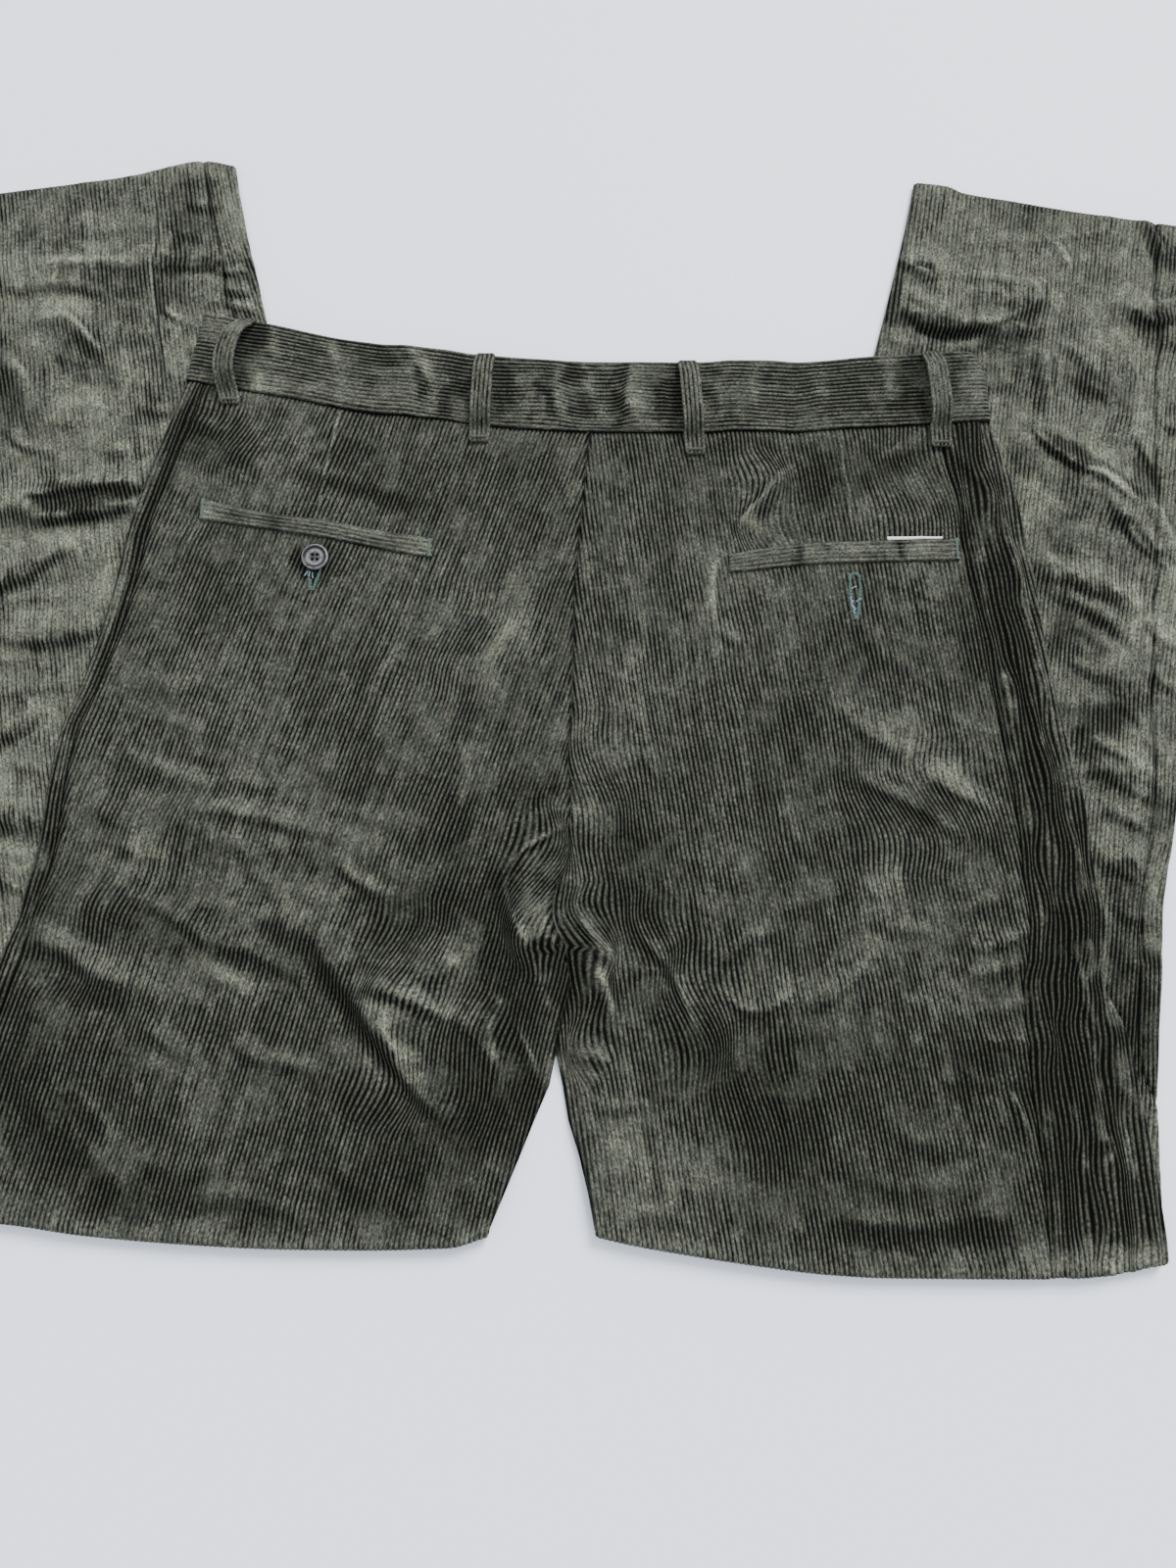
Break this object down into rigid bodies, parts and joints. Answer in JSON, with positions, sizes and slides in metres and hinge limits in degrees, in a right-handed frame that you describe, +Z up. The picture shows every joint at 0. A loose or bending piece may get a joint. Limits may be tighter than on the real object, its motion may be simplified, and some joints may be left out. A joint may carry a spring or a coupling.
{
  "type": "chino trousers",
  "caption": "Dark olive-green corduroy chino trousers, laid face down with both legs folded under at mid-thigh, hems beyond the waistband.",
  "frame": {"origin": "bottom centre of the bounding box, on the surface that the trousers lie on", "axes": "+X from the wearer's left side to the right side as laid, +Y from the fold of the thighs towards the waistband and the hems, +Z up, out of the back of the trousers"},
  "size_m": [0.7882, 0.6408, 0.0206],
  "materials": {
    "corduroy": "ribbed cotton pile",
    "pocketing": "plain cotton twill",
    "button": "polished"
  },
  "bodies": {
    "root": {"back_left": "corduroy", "back_right": "corduroy", "front_left": "corduroy", "front_right": "corduroy", "waistband": "corduroy", "belt_loop_1": "corduroy", "belt_loop_2": "corduroy", "belt_loop_3": "corduroy", "belt_loop_4": "corduroy", "belt_loop_front_left": "corduroy", "belt_loop_front_right": "corduroy", "welt_left": "corduroy", "welt_right": "corduroy", "pocketing_right": "pocketing", "button": "button"}
  },
  "joints": []
}
